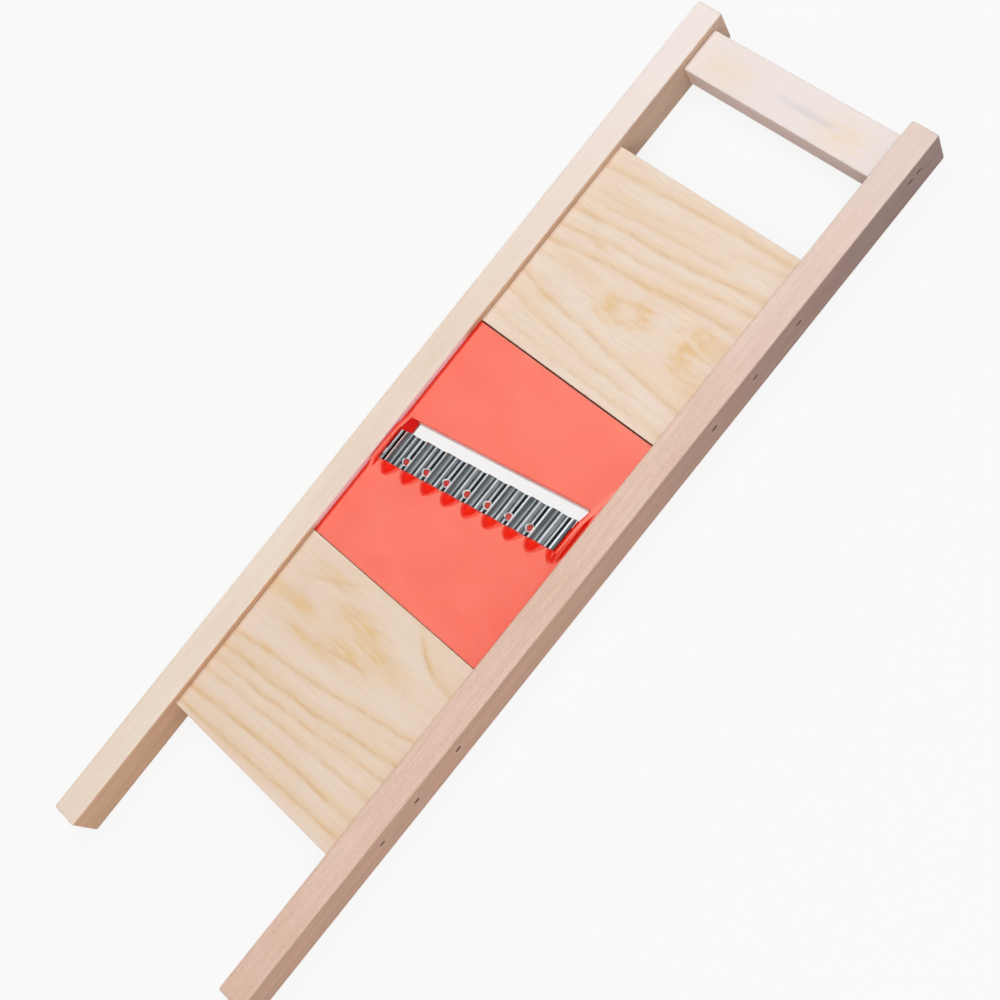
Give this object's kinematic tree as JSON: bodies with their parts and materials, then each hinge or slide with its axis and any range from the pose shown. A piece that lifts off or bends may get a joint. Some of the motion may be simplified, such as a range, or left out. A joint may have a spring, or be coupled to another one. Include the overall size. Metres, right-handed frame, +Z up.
{
  "type": "crinkle cutter",
  "caption": "Wooden-framed crinkle cutter: side rails, crossbar handle, plywood boards and a red moulded insert with a skewed corrugated steel blade over a throat.",
  "frame": {"origin": "middle of the frame's footprint, on the plane of the rails' undersides", "axes": "+X across the frame to the right, +Y along the rails to the crossbar end, +Z up through the deck"},
  "size_m": [0.1, 0.35, 0.0152],
  "materials": {
    "rail_wood": "sanded, unvarnished",
    "crossbar_wood": "sanded, unvarnished",
    "plywood": "sanded veneer",
    "red_plastic": "moulded gloss",
    "blade_steel": "polished stainless",
    "brad_steel": "dull wire"
  },
  "bodies": {
    "root": {"left_rail": "rail_wood", "right_rail": "rail_wood", "crossbar": "crossbar_wood", "upper_board": "plywood", "lower_board": "plywood", "blade_insert": "red_plastic", "crinkle_blade": "blade_steel", "brad_crossbar_left_1": "brad_steel", "brad_crossbar_left_2": "brad_steel", "brad_upper_left_1": "brad_steel", "brad_upper_left_2": "brad_steel", "brad_upper_left_3": "brad_steel", "brad_lower_left_1": "brad_steel", "brad_lower_left_2": "brad_steel", "brad_lower_left_3": "brad_steel", "brad_crossbar_right_1": "brad_steel", "brad_crossbar_right_2": "brad_steel", "brad_upper_right_1": "brad_steel", "brad_upper_right_2": "brad_steel", "brad_upper_right_3": "brad_steel", "brad_lower_right_1": "brad_steel", "brad_lower_right_2": "brad_steel", "brad_lower_right_3": "brad_steel"}
  },
  "joints": []
}
